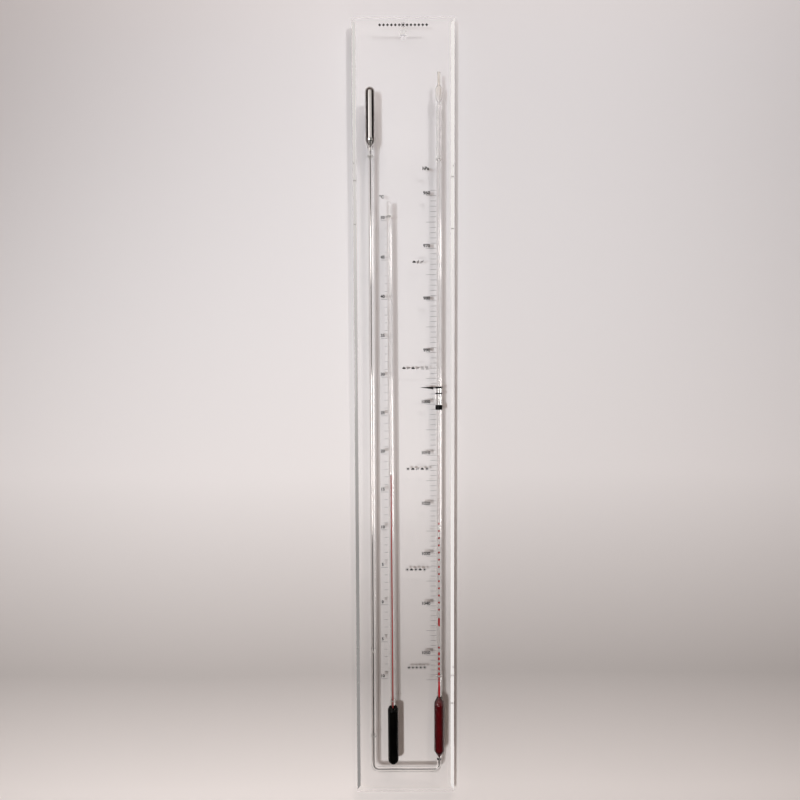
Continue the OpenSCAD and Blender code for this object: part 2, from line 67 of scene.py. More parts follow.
# Camera of the photograph, fitted to the plate's corners and edges
PICTURE_SIDE = 800
FOCAL_PIXELS = 588
SENSOR = 36
CAMERA_AT = Vector((-5.13, -712.4, -392.33)) * MM
CAMERA_YAW = -0.0002
CAMERA_PITCH = -0.0489
CAMERA_ROLL = -0.0037


def make_camera():
    bpy.ops.object.camera_add(location=CAMERA_AT)
    camera = bpy.context.object
    camera.name = "camera"
    turn = (
        Matrix.Rotation(-CAMERA_YAW, 4, "Z")
        @ Matrix.Rotation(math.pi / 2 + CAMERA_PITCH, 4, "X")
        @ Matrix.Rotation(CAMERA_ROLL, 4, "Z")
    )
    camera.rotation_euler = turn.to_euler()
    camera.data.sensor_width = SENSOR
    camera.data.lens = FOCAL_PIXELS * SENSOR / PICTURE_SIDE
    camera.data.clip_start = 0.01
    camera.data.clip_end = 20
    camera.data.dof.use_dof = False
    bpy.context.scene.camera = camera


make_camera()


# Tools for node materials
def new_material(name):
    """A material with nothing in it but its output: (node tree, output node)."""
    material = bpy.data.materials.new(name)
    material.use_nodes = True
    tree = material.node_tree
    tree.nodes.clear()
    return material, tree, tree.nodes.new("ShaderNodeOutputMaterial")


def add(tree, kind, **values):
    """Adds a node, setting its attributes, or with a leading i_ its input sockets."""
    node = tree.nodes.new("ShaderNode" + kind)
    for key, value in values.items():
        if key.startswith("i_"):
            node.inputs[key[2:].replace("_", " ")].default_value = value
        else:
            setattr(node, key, value)
    return node


def plug(tree, source, output, target, socket):
    tree.links.new(source.outputs[output], target.inputs[socket])


def calculate(tree, operation, *terms, kind="Math"):
    """A maths node. Each term is a value, or a list of a node and one of its outputs."""
    node = add(tree, kind, operation=operation)
    sockets = (0, "Scale") if operation == "SCALE" else range(len(terms))
    for socket, term in zip(sockets, terms):
        if isinstance(term, list):
            plug(tree, *term, node, socket)
        else:
            node.inputs[socket].default_value = term
    return node


def remap(tree, source, output, start, end, low=0.0, high=1.0):
    """Takes a value from the range start to end into the range low to high, and holds it there."""
    node = add(
        tree, "MapRange", i_From_Min=start, i_From_Max=end, i_To_Min=low, i_To_Max=high
    )
    plug(tree, source, output, node, "Value")
    return node


def place_parts(tree, output="Object"):
    """The place as a node, and a node with its X, Y and Z."""
    place = add(tree, "TexCoord")
    parts = add(tree, "SeparateXYZ")
    plug(tree, place, output, parts, "Vector")
    return place, parts


def ramp(tree, source, output, stops):
    """A colour ramp behind a socket; stops are (position, grey or colour)."""
    node = add(tree, "ValToRGB")
    elements = node.color_ramp.elements
    while len(elements) > len(stops):
        elements.remove(elements[-1])
    while len(elements) < len(stops):
        elements.new(0.5)
    for element, (position, value) in zip(elements, stops):
        element.position = position
        element.color = (value, value, value, 1) if isinstance(value, float) else (*value, 1)
    plug(tree, source, output, node, "Fac")
    return node


def blend(tree, mask, output, first, second):
    """Mixes the colours of two nodes by a mask; 0 shows the first."""
    mix = add(tree, "Mix", data_type="RGBA")
    plug(tree, mask, output, mix, 0)
    for socket, source in ((6, first), (7, second)):
        plug(tree, source, 2 if source.bl_idname == "ShaderNodeMix" else "Color", mix, socket)
    return mix


def shaded_by(tree, tone, shade):
    """The colours of one ramp multiplied by those of another."""
    mix = add(tree, "Mix", data_type="RGBA", blend_type="MULTIPLY")
    mix.inputs[0].default_value = 1
    plug(tree, tone, "Color", mix, 6)
    plug(tree, shade, "Color", mix, 7)
    return mix


def group(name, inputs, outputs):
    """An empty node group with named float inputs and outputs."""
    tree = bpy.data.node_groups.new(name, "ShaderNodeTree")
    for label, value in inputs.items():
        socket = tree.interface.new_socket(label, in_out="INPUT", socket_type="NodeSocketFloat")
        socket.default_value = value
    for label in outputs:
        tree.interface.new_socket(label, in_out="OUTPUT", socket_type="NodeSocketFloat")
    return tree, tree.nodes.new("NodeGroupInput"), tree.nodes.new("NodeGroupOutput")


def drawn_streaks():
    """Fine streaks along the length of drawn glass."""
    tree, given, result = group("drawn_streaks", {"Across": 2200.0, "Along": 14.0}, ["Height"])
    place = add(tree, "TexCoord")
    stretch = add(tree, "CombineXYZ")
    for axis, label in (("X", "Across"), ("Y", "Across"), ("Z", "Along")):
        plug(tree, given, label, stretch, axis)
    scaled = calculate(
        tree, "MULTIPLY", [place, "Object"], [stretch, "Vector"], kind="VectorMath"
    )
    noise = add(tree, "TexNoise", i_Scale=1.0, i_Detail=3.0, i_Roughness=0.6)
    plug(tree, scaled, "Vector", noise, "Vector")
    plug(tree, noise, "Fac", result, "Height")
    return tree


# How much a scratch shows beside a smudge
SCRATCH_SHARE = 0.35


def handling_marks():
    """Where a polished surface was touched or wiped: soft smudges and hair scratches."""
    sizes = {"Smudge Size": 9.0, "Scratch Size": 60.0}
    tree, given, result = group("handling_marks", sizes, ["Mask"])
    place = add(tree, "TexCoord")
    smudge = add(tree, "TexNoise", i_Detail=4.0, i_Roughness=0.55)
    plug(tree, place, "Object", smudge, "Vector")
    plug(tree, given, "Smudge Size", smudge, "Scale")
    soft = ramp(tree, smudge, "Fac", [(0.5, 0.0), (0.78, 1.0)])
    scratch = add(tree, "TexVoronoi", feature="DISTANCE_TO_EDGE")
    plug(tree, place, "Object", scratch, "Vector")
    plug(tree, given, "Scratch Size", scratch, "Scale")
    thin = ramp(tree, scratch, "Distance", [(0.0, 1.0), (0.012, 0.0)])
    both = calculate(tree, "MULTIPLY_ADD", [thin, "Color"], SCRATCH_SHARE, [soft, "Color"])
    plug(tree, both, "Value", result, "Mask")
    return tree


def worn_ink():
    """Uneven density of printed ink: 1 where it is full, less where it is thin."""
    tree, given, result = group("worn_ink", {"Grain": 2600.0}, ["Density"])
    place = add(tree, "TexCoord")
    noise = add(tree, "TexNoise", i_Detail=2.0)
    plug(tree, place, "Object", noise, "Vector")
    plug(tree, given, "Grain", noise, "Scale")
    density = ramp(tree, noise, "Fac", [(0.3, 0.72), (0.55, 1.0)])
    plug(tree, density, "Color", result, "Density")
    return tree


STREAKS = drawn_streaks()
MARKS = handling_marks()
INK_GRAIN = worn_ink()


def place_group(tree, shared, **values):
    node = tree.nodes.new("ShaderNodeGroup")
    node.node_tree = shared
    for key, value in values.items():
        node.inputs[key.replace("_", " ")].default_value = value
    return node


def bumped(tree, source, output, strength, distance):
    node = add(tree, "Bump", i_Strength=strength, i_Distance=distance)
    plug(tree, source, output, node, "Height")
    return node


# After so many turns a ray goes straight on: one caught in glass, and one in the plate's edges
GLASS_TURNS = 20
PLATE_TURNS = 1.5


def let_light_through(tree, shader, output, tint, turns=GLASS_TURNS):
    """Clear pieces let the lamps' and the room's light pass straight through to what is behind.

    They do the same with a ray that has been turned more often than turns. Returns the node
    whose second socket is the share of the lamps' and the room's light that passes.
    """
    rays = add(tree, "LightPath")
    either = calculate(tree, "MAXIMUM", [rays, "Is Shadow Ray"], [rays, "Is Diffuse Ray"])
    share = calculate(tree, "MULTIPLY", [either, "Value"], 1)
    caught = calculate(tree, "GREATER_THAN", [rays, "Ray Depth"], turns)
    amount = calculate(tree, "MAXIMUM", [share, "Value"], [caught, "Value"])
    clear = add(tree, "BsdfTransparent", i_Color=(*tint, 1))
    mix = add(tree, "MixShader")
    plug(tree, amount, "Value", mix, "Fac")
    plug(tree, shader, "BSDF", mix, 1)
    plug(tree, clear, "BSDF", mix, 2)
    plug(tree, mix, "Shader", output, "Surface")
    return share


# Share of the light that the plate's edges and bevels let through. Its two faces pass it all
EDGE_PASSES = 0.1


def clear_acrylic():
    """Acrylic sheet, polished all round and lightly smeared by hands."""
    material, tree, output = new_material("clear_acrylic")
    body = add(tree, "BsdfPrincipled", i_IOR=1.49)
    body.inputs["Base Color"].default_value = (0.99, 0.99, 0.99, 1)
    body.inputs["Transmission Weight"].default_value = 1
    facing = add(tree, "NewGeometry")
    parts = add(tree, "SeparateXYZ")
    plug(tree, facing, "True Normal", parts, "Vector")
    face = calculate(tree, "POWER", [parts, "Y"], 2)
    marks = place_group(tree, MARKS, Smudge_Size=7.0, Scratch_Size=35.0)
    smears = ramp(tree, marks, "Mask", [(0.0, 0.0), (1.0, 0.03)])
    plug(tree, smears, "Color", body, "Roughness")
    share = let_light_through(tree, body, output, (0.985, 0.985, 0.985), PLATE_TURNS)
    passing = ramp(tree, face, "Value", [(0.8, EDGE_PASSES), (0.9, 1.0)])
    plug(tree, passing, "Color", share, 1)
    return material


# Heights from which vapour has stained the overflow, and from which it is fully stained
STAIN_FROM = -80 * MM
STAIN_FULL = -60 * MM


def clear_glass():
    """Blown and drawn glass, with faint streaks along it, and a little stained at the top."""
    material, tree, output = new_material("blown_glass")
    body = add(tree, "BsdfPrincipled", i_IOR=1.48, i_Roughness=0.0)
    body.inputs["Transmission Weight"].default_value = 1
    _, parts = place_parts(tree)
    stained = remap(tree, parts, "Z", STAIN_FROM, STAIN_FULL)
    tint = ramp(tree, stained, "Result", [(0.0, (0.99, 0.985, 0.98)), (1.0, (0.935, 0.91, 0.87))])
    plug(tree, tint, "Color", body, "Base Color")
    streaks = place_group(tree, STREAKS, Across=900.0, Along=9.0)
    bump = bumped(tree, streaks, "Height", 0.12, 0.0002)
    plug(tree, bump, "Normal", body, "Normal")
    let_light_through(tree, body, output, (0.62, 0.62, 0.62))
    return material


def clear_sleeve():
    """Thin plastic tube of the marker, a little milky."""
    material, tree, output = new_material("clear_sleeve")
    body = add(tree, "BsdfPrincipled", i_IOR=1.45)
    body.inputs["Base Color"].default_value = (0.97, 0.98, 0.98, 1)
    body.inputs["Transmission Weight"].default_value = 1
    marks = place_group(tree, MARKS, Smudge_Size=160.0, Scratch_Size=400.0)
    rough = ramp(tree, marks, "Mask", [(0.0, 0.02), (1.0, 0.16)])
    plug(tree, rough, "Color", body, "Roughness")
    let_light_through(tree, body, output, (0.85, 0.86, 0.86))
    return material


# Painted reflection in the mercury's colour, from face on to edge on: dark bands for the room's
# dark sides, then pale again at the edge for the wall
MERCURY_PAINTED_REFLECTION = [
    (0.055, 1.0), (0.09, (0.2, 0.15, 0.14)), (0.2, (0.1, 0.065, 0.06)), (0.24, (0.7, 0.68, 0.67)),
    (0.3, 1.0),
]


def mercury():
    """Mercury behind glass, with painted reflections: painted dark bands towards its sides, and
    pale again at its very edge, where it mirrors the wall.
    """
    material, tree, output = new_material("mercury")
    body = add(tree, "BsdfPrincipled", i_Metallic=1.0)
    place = add(tree, "TexCoord")
    film = add(tree, "TexNoise", i_Scale=420.0, i_Detail=3.0)
    plug(tree, place, "Object", film, "Vector")
    tone = ramp(tree, film, "Fac", [(0.35, (0.7, 0.69, 0.68)), (0.7, (0.8, 0.79, 0.78))])
    rough = ramp(tree, film, "Fac", [(0.3, 0.015), (0.8, 0.07)])
    turned = add(tree, "LayerWeight")
    # Painted reflection: the colour darkens in bands towards the sides and comes back at the very
    # edge
    painted_side_shade = ramp(tree, turned, "Facing", MERCURY_PAINTED_REFLECTION)
    plug(tree, shaded_by(tree, tone, painted_side_shade), 2, body, "Base Color")
    plug(tree, rough, "Color", body, "Roughness")
    plug(tree, body, "BSDF", output, "Surface")
    return material


# Heights where the red fluid goes over into a narrow bore, and its colour there
THIN_FROM = -788 * MM
THIN_FULL = -784 * MM
THIN_RED = (0.6, 0.012, 0.02, 1)


def coloured_liquid(name, deep, bright, thins=False):
    """Dyed liquid wetting the glass: uneven, with painted shade darkening it to its sides, and
    brighter where it thins.
    """
    material, tree, output = new_material(name)
    body = add(tree, "BsdfPrincipled", i_Roughness=0.08, i_IOR=1.36)
    place, parts = place_parts(tree)
    cloud = add(tree, "TexNoise", i_Scale=260.0, i_Detail=2.0)
    plug(tree, place, "Object", cloud, "Vector")
    tone = ramp(tree, cloud, "Fac", [(0.3, deep), (0.75, bright)])
    turned = add(tree, "LayerWeight")
    # Painted shade: the liquid's colour darkens towards its sides
    painted_side_shade = ramp(tree, turned, "Facing", [(0.06, 1.0), (0.2, 0.45)])
    shown = shaded_by(tree, tone, painted_side_shade)
    if thins:
        thin = remap(tree, parts, "Z", THIN_FROM, THIN_FULL)
        both = add(tree, "Mix", data_type="RGBA")
        both.inputs[7].default_value = THIN_RED
        plug(tree, thin, "Result", both, 0)
        plug(tree, shown, 2, both, 6)
        shown = both
    plug(tree, shown, 2, body, "Base Color")
    plug(tree, body, "BSDF", output, "Surface")
    return material


def black_gloss():
    """Glossy black plastic with a few marks of handling."""
    material, tree, output = new_material("black_gloss")
    body = add(tree, "BsdfPrincipled")
    body.inputs["Specular IOR Level"].default_value = 0.12
    marks = place_group(tree, MARKS, Smudge_Size=90.0, Scratch_Size=320.0)
    rough = ramp(tree, marks, "Mask", [(0.0, 0.05), (1.0, 0.2)])
    tones = [(0.0, (0.0006, 0.0005, 0.0005)), (1.0, (0.004, 0.0035, 0.003))]
    tone = ramp(tree, marks, "Mask", tones)
    plug(tree, rough, "Color", body, "Roughness")
    plug(tree, tone, "Color", body, "Base Color")
    plug(tree, body, "BSDF", output, "Surface")
    return material


def drawn_wire():
    material, tree, output = new_material("drawn_wire")
    body = add(tree, "BsdfPrincipled", i_Metallic=1.0)
    marks = place_group(tree, MARKS, Smudge_Size=500.0, Scratch_Size=900.0)
    tone = ramp(tree, marks, "Mask", [(0.0, (0.66, 0.66, 0.64)), (1.0, (0.4, 0.39, 0.37))])
    rough = ramp(tree, marks, "Mask", [(0.0, 0.22), (1.0, 0.5)])
    plug(tree, tone, "Color", body, "Base Color")
    plug(tree, rough, "Color", body, "Roughness")
    plug(tree, body, "BSDF", output, "Surface")
    return material


def printed_ink():
    """Thin dark print on the face of the plate."""
    material, tree, output = new_material("printed_ink")
    body = add(tree, "BsdfPrincipled", i_Roughness=0.55)
    grain = place_group(tree, INK_GRAIN)
    tone = ramp(tree, grain, "Density", [(0.7, (0.05, 0.048, 0.048)), (1.0, (0.008, 0.008, 0.008))])
    plug(tree, tone, "Color", body, "Base Color")
    plug(tree, body, "BSDF", output, "Surface")
    return material


ACRYLIC = clear_acrylic()
GLASS = clear_glass()
SLEEVE = clear_sleeve()
MERCURY = mercury()
RED_FLUID = coloured_liquid("red_fluid", (0.08, 0.001, 0.003), (0.13, 0.002, 0.005), thins=True)
BRIGHT_RED = coloured_liquid("bright_red_fluid", (0.62, 0.012, 0.02), (0.75, 0.03, 0.04))
SPIRIT = coloured_liquid("red_spirit", (0.56, 0.07, 0.06), (0.66, 0.12, 0.1))
PALE_RED = coloured_liquid("red_film", (0.7, 0.3, 0.28), (0.85, 0.6, 0.57))
BLACK = black_gloss()
WIRE = drawn_wire()
INK = printed_ink()


# Tools for modelling
def nothing_selected():
    if bpy.context.object and bpy.context.object.mode != "OBJECT":
        bpy.ops.object.mode_set(mode="OBJECT")
    bpy.ops.object.select_all(action="DESELECT")


def only(piece):
    nothing_selected()
    piece.select_set(True)
    bpy.context.view_layer.objects.active = piece


def settle(piece):
    """Puts the piece's place into its mesh, so that its object sits at the origin."""
    only(piece)
    bpy.ops.object.transform_apply(location=True, rotation=True, scale=True)


def join(pieces, name):
    only(pieces[0])
    for piece in pieces:
        piece.select_set(True)
    if len(pieces) > 1:
        bpy.ops.object.join()
    bpy.context.object.name = name
    bpy.context.object.data.name = name
    return bpy.context.object


def finished(piece, material, replaces=()):
    """Gives a new piece its material, body and slot. All the new pieces ride on the frame."""
    piece.data.materials.clear()
    piece.data.materials.append(material)
    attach(piece, "frame")
    if replaces:
        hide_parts(*replaces)


def select_points(piece, wanted):
    """Selects the points that pass a test, in edit mode."""
    only(piece)
    bpy.ops.object.mode_set(mode="EDIT")
    bpy.ops.mesh.select_mode(type="VERT")
    bpy.ops.mesh.select_all(action="DESELECT")
    bpy.ops.object.mode_set(mode="OBJECT")
    for point in piece.data.vertices:
        point.select = wanted(point.co)
    bpy.ops.object.mode_set(mode="EDIT")


TUBE_SIDES = 64
THREAD_SIDES = 32
FILM_SIDES = 16
# A dome starts from a ring this narrow, and a ring near the end of a long wall is this far in
POLE_R = 0.05 * MM
SUPPORT_L = 0.6 * MM
MERGE = 0.01 * MM


class DrawnTube:
    """A tube drawn out ring by ring, as at a glassblower's lamp.

    Its open end stays selected in edit mode. The end has a place, a heading and a radius, and
    each move extrudes or spins it on.
    """

    def __init__(self, name, start, heading, radius, sides=TUBE_SIDES):
        nothing_selected()
        bpy.ops.mesh.primitive_circle_add(
            vertices=sides, radius=radius, location=start,
            rotation=heading.to_track_quat("Z", "Y").to_euler(),
        )
        self.piece = bpy.context.object
        self.piece.name = name
        self.piece.data.name = name
        bpy.ops.object.transform_apply(location=True, rotation=True, scale=True)
        bpy.ops.object.mode_set(mode="EDIT")
        bpy.ops.mesh.select_all(action="SELECT")
        self.start = Vector(start)
        self.start_radius = radius
        self.tip = Vector(start)
        self.heading = heading.normalized()
        self.radius = radius

    def draw(self, length, radius=None):
        step = self.heading * length
        bpy.ops.mesh.extrude_region_move(TRANSFORM_OT_translate={"value": step})
        self.tip = self.tip + step
        if radius is not None and radius != self.radius:
            share = radius / self.radius
            bpy.ops.transform.resize(value=(share,) * 3, center_override=self.tip)
            self.radius = radius

    def draw_to(self, point):
        """Straight on to a height or a place. A ring near each end keeps the shading straight."""
        length = (Vector(point) - self.tip).dot(self.heading)
        if length > 4 * SUPPORT_L:
            self.draw(SUPPORT_L)
            self.draw(length - 2 * SUPPORT_L)
            length = SUPPORT_L
        self.draw(length)

    def shoulder(self, length, radius, steps=10):
        """An S-shaped change of radius over a length."""
        first = self.radius
        for i in range(1, steps + 1):
            share = (1 - math.cos(math.pi * i / steps)) / 2
            self.draw(length / steps, first + (radius - first) * share)

    def dome(self, radius, steps=10):
        """Opens from nearly nothing to a radius along a quarter round."""
        for i in range(1, steps + 1):
            a, b = math.pi / 2 * (i - 1) / steps, math.pi / 2 * i / steps
            self.draw(radius * (math.cos(a) - math.cos(b)), radius * math.sin(b))

    def close_dome(self, radius, steps=10):
        """Closes to nearly nothing along a quarter round."""
        for i in range(steps - 1, -1, -1):
            a, b = math.pi / 2 * (i + 1) / steps, math.pi / 2 * i / steps
            self.draw(radius * (math.cos(b) - math.cos(a)), max(radius * math.sin(b), POLE_R))

    def bend(self, angle, centre, axis, steps=8):
        """Turns the end by an angle about an axis through a centre, by the right-hand rule."""
        bpy.ops.mesh.spin(steps=steps, angle=-angle, center=centre, axis=axis)
        turn = Matrix.Rotation(angle, 3, axis)
        self.tip = Vector(centre) + turn @ (self.tip - Vector(centre))
        self.heading = turn @ self.heading

    def close_tip(self):
        bpy.ops.mesh.edge_face_add()

    def close_start(self):
        """Fills the ring that the tube was drawn from."""
        start, reach = self.start, self.start_radius + MERGE
        select_points(self.piece, lambda point: (point - start).length < reach)
        bpy.ops.mesh.edge_face_add()

    def done(self):
        bpy.ops.object.mode_set(mode="OBJECT")
        return self.piece


# Where the blown tube goes, from the frame
LEG = middle("mercury_leg_tube")
LEG_TOP = high("mercury_leg_tube").z
LEG_BOTTOM = low("mercury_leg_tube").z
TUBE_R = radius_of("overflow_tube")
RUN_Z = low("bottom_bend").z + TUBE_R
CORNER_R = LEG_BOTTOM - RUN_Z
BULB = middle("mercury_bulb")
BULB_R = radius_of("mercury_bulb")
NECK_Z = low("mercury_bulb").z
RESERVOIR = middle("fluid_reservoir")
RESERVOIR_LOW = low("fluid_reservoir").z
RESERVOIR_HIGH = high("fluid_reservoir").z
INDICATOR = middle("indicator_tube")
INDICATOR_LOW = low("indicator_tube").z
INDICATOR_HIGH = high("indicator_tube").z
OVERFLOW_HIGH = high("overflow_tube").z
VENT_HIGH = high("overflow_bulb").z

# A jog is two equal arcs that move the axis forward by its width
JOG = LEG.y - BULB.y
JOG_L = NECK_Z - LEG_TOP
JOG_ANGLE = 2 * math.atan(JOG / JOG_L)
JOG_R = JOG_L / (2 * math.sin(JOG_ANGLE))

# Lengths along the tube that the frame's boxes don't give
BULB_SHOULDER_L = 11 * MM
LOWER_SHOULDER_L = 8.8 * MM
UPPER_SHOULDER_L = 10 * MM
WELD_L = 5 * MM
WELD_INSET = 0.5 * MM
LEG_WELD_RISE = 149.5 * MM
WAIST_L = 5 * MM
SMALL_BULB_L = 25.4 * MM
BORE_STEP_L = 1.5 * MM
LIQUID_GAP = 0.02 * MM

OUTSIDE = {
    "bulb": BULB_R, "leg": TUBE_R, "weld": 0.5 * MM, "reservoir": radius_of("fluid_reservoir"),
    "indicator": TUBE_R, "overflow": TUBE_R, "waist": 2 * MM,
    "small_bulb": radius_of("overflow_bulb"),
}
INSIDE = {
    "bulb": radius_of("mercury_in_bulb") + LIQUID_GAP,
    "leg": radius_of("mercury_in_leg") + LIQUID_GAP,
    "weld": 0,
    "reservoir": radius_of("red_fluid_in_reservoir") + LIQUID_GAP,
    "indicator": radius_of("red_fluid_droplets") + LIQUID_GAP,
    "overflow": 1.8 * MM, "waist": 0.9 * MM, "small_bulb": 3.2 * MM,
}
# A liquid wets the wall: it reaches a little into the glass, so that no air shows between them
WET = {key: value + LIQUID_GAP for key, value in INSIDE.items()}
WET["weld"] = 0


def jog(tube, side):
    """Two equal arcs that move a rising or falling tube back for side 1, forwards for -1."""
    axis = tube.heading.cross(Vector((0, side, 0)))
    for turn in (1, -1):
        across = (axis * turn).cross(tube.heading) * JOG_R
        tube.bend(JOG_ANGLE * turn, tube.tip + across, axis, 4)


def weld(tube, r, z, key):
    """The swelling where two lengths of glass were fused, centred on the height z."""
    tube.draw_to((0, 0, z - tube.heading.z * WELD_L / 2))
    tube.shoulder(WELD_L / 2, r[key] + r["weld"], 6)
    tube.shoulder(WELD_L / 2, r[key], 6)


def mercury_bulb(tube, r):
    tube.dome(r["bulb"])
    tube.draw_to((0, 0, NECK_Z + BULB_SHOULDER_L))
    tube.shoulder(BULB_SHOULDER_L, r["leg"])


def mercury_leg(tube, r):
    jog(tube, 1)
    weld(tube, r, RUN_Z + LEG_WELD_RISE, "leg")
    tube.draw_to((0, 0, LEG_BOTTOM))


def bottom_bend(tube, r):
    tube.bend(-math.pi / 2, tube.tip + Vector((CORNER_R, 0, 0)), (0, 1, 0), 12)
    tube.draw_to((INDICATOR.x - CORNER_R, 0, 0))
    tube.bend(-math.pi / 2, tube.tip + Vector((0, 0, CORNER_R)), (0, 1, 0), 12)
    riser = RESERVOIR_LOW - LEG_BOTTOM - JOG_L
    tube.draw(riser / 2)
    jog(tube, -1)
    tube.draw_to((0, 0, RESERVOIR_LOW))


def fluid_reservoir(tube, r):
    tube.shoulder(LOWER_SHOULDER_L, r["reservoir"])
    tube.draw_to((0, 0, RESERVOIR_HIGH - UPPER_SHOULDER_L))
    tube.shoulder(UPPER_SHOULDER_L, r["indicator"])
    tube.draw_to((0, 0, INDICATOR_LOW - JOG_L))
    jog(tube, 1)


def indicator_tube(tube, r):
    weld(tube, r, INDICATOR_LOW + WELD_L / 2 + WELD_INSET, "indicator")
    tube.draw_to((0, 0, INDICATOR_HIGH))
    tube.shoulder(BORE_STEP_L, r["overflow"], 4)


def overflow_end(tube, r):
    tube.draw_to((0, 0, OVERFLOW_HIGH))
    tube.shoulder(WAIST_L, r["waist"], 6)
    tube.shoulder((SMALL_BULB_L - WAIST_L) / 3, r["small_bulb"], 8)
    tube.draw_to((0, 0, OVERFLOW_HIGH + SMALL_BULB_L - WAIST_L))
    tube.shoulder(WAIST_L, r["waist"], 8)
    tube.draw_to((0, 0, VENT_HIGH))


def from_bulb(name, r):
    """A tube that starts at the pole of the mercury bulb, where r is the skin's radii."""
    pole = Vector((BULB.x, BULB.y, high("mercury_bulb").z - BULB_R + r["bulb"]))
    return DrawnTube(name, pole, Vector((0, 0, -1)), POLE_R)


def u_tube_skin(name, r, lip=None):
    """One skin of the U-tube. A lip turns its open tip in to that radius."""
    tube = from_bulb(name, r)
    for stage in (mercury_bulb, mercury_leg, bottom_bend, fluid_reservoir, indicator_tube,
                  overflow_end):
        stage(tube, r)
    if lip:
        tube.draw(0, lip)
    tube.close_start()
    return tube.done()


def round_off(piece, degrees=40):
    """Outward normals and smooth shading, with edges sharper than an angle kept."""
    only(piece)
    bpy.ops.object.mode_set(mode="EDIT")
    bpy.ops.mesh.select_all(action="SELECT")
    bpy.ops.mesh.normals_make_consistent(inside=False)
    bpy.ops.object.mode_set(mode="OBJECT")
    bpy.ops.object.shade_smooth_by_angle(angle=math.radians(degrees))


def make_u_tube():
    """The whole U-tube is one blown piece, hollow from the sealed bulb to the open tip."""
    outer = u_tube_skin("u_tube_glass", OUTSIDE, lip=INSIDE["waist"])
    glass = join([outer, u_tube_skin("bore", INSIDE)], "u_tube_glass")
    select_points(glass, lambda point: point.z > VENT_HIGH - MERGE)
    bpy.ops.mesh.remove_doubles(threshold=MERGE)
    bpy.ops.object.mode_set(mode="OBJECT")
    round_off(glass)
    finished(glass, GLASS, replaces=(
        "mercury_bulb", "mercury_bulb_neck", "mercury_leg_tube", "bottom_bend", "fluid_reservoir",
        "reservoir_neck", "indicator_tube", "overflow_tube", "overflow_bulb",
    ))


def filled(tube, material, replaces=()):
    """Closes a solid piece of liquid at both ends."""
    tube.close_tip()
    tube.close_start()
    piece = tube.done()
    round_off(piece)
    finished(piece, material, replaces)


def make_mercury():
    tube = from_bulb("mercury_column", WET)
    for stage in (mercury_bulb, mercury_leg, bottom_bend):
        stage(tube, WET)
    filled(tube, MERCURY, (
        "mercury_in_bulb", "mercury_in_neck", "mercury_in_leg", "mercury_in_bend"
    ))


def make_red_fluid():
    start = Vector((RESERVOIR.x, RESERVOIR.y, RESERVOIR_LOW + LIQUID_GAP))
    tube = DrawnTube("red_fluid_reserve", start, Vector((0, 0, 1)), WET["leg"])
    fluid_reservoir(tube, WET)
    filled(tube, RED_FLUID, ("red_fluid_in_reservoir", "red_fluid_in_neck"))


# Broken head of the red column, measured up from the lower end of the indicator tube
DASHES = 6
DASH_PITCH = 6.2 * MM
DASH_L = 4.2 * MM
FIRST_DASH_RISE = 1 * MM
SLUG_RISE = 68 * MM
SLUG_L = 10.5 * MM
BEAD_RISE = SLUG_RISE - 27.5 * MM
DROPLETS = 13
DROPLET_PITCH = 8.75 * MM
DROPLET_L = 2.6 * MM
# Ends of the film above it, in the frame
FILM_LOW = -575 * MM
FILM_HIGH = -492 * MM
FILM_R = 0.3 * MM
# How far from either end of the spirit column its end points are looked for
SPIRIT_END = 0.2 * MM


def bead(name, rise, length):
    """A short length of red fluid with round ends in the indicator's bore."""
    r = WET["indicator"]
    start = Vector((INDICATOR.x, INDICATOR.y, INDICATOR_LOW + rise))
    tube = DrawnTube(name, start, Vector((0, 0, 1)), POLE_R, THREAD_SIDES)
    tube.dome(r, 5)
    tube.draw(length - 2 * r)
    tube.close_dome(r, 5)
    tube.close_tip()
    tube.close_start()
    return tube.done()


def make_column_head():
    parts = [
        bead(f"dash_{i}", FIRST_DASH_RISE + i * DASH_PITCH, DASH_L) for i in range(DASHES)
    ]
    parts.append(bead("lone_bead", BEAD_RISE, DROPLET_L))
    parts.append(bead("slug", SLUG_RISE, SLUG_L))
    parts += [
        bead(f"droplet_{i}", SLUG_RISE + SLUG_L + i * DROPLET_PITCH, DROPLET_L)
        for i in range(1, DROPLETS + 1)
    ]
    head = join(parts, "red_column_head")
    round_off(head)
    finished(head, BRIGHT_RED, replaces=("red_fluid_droplets",))


def make_film():
    """The pale film that the red fluid has left on the bore above its broken head."""
    start = Vector((INDICATOR.x, INDICATOR.y, FILM_LOW))
    tube = DrawnTube("red_film", start, Vector((0, 0, 1)), FILM_R, FILM_SIDES)
    tube.draw_to((0, 0, FILM_HIGH))
    filled(tube, PALE_RED)


def make_spirit():
    """The spirit column, drawn along the thermometer's own leaning axis."""
    column = NODES["spirit_column"]
    points = [v.co for v in column.data.vertices]
    bottom, top = min(p.z for p in points), max(p.z for p in points)
    foot = [p for p in points if p.z < bottom + SPIRIT_END]
    head = [p for p in points if p.z > top - SPIRIT_END]
    start = sum(foot, Vector()) / len(foot)
    end = sum(head, Vector()) / len(head)
    bore_r = max((p - start).length for p in foot) + 2 * LIQUID_GAP
    tube = DrawnTube("spirit_thread", start, end - start, bore_r, THREAD_SIDES)
    tube.draw((end - start).length)
    filled(tube, SPIRIT, ("spirit_column",))


make_u_tube()
make_mercury()
make_red_fluid()
make_column_head()
make_film()
make_spirit()


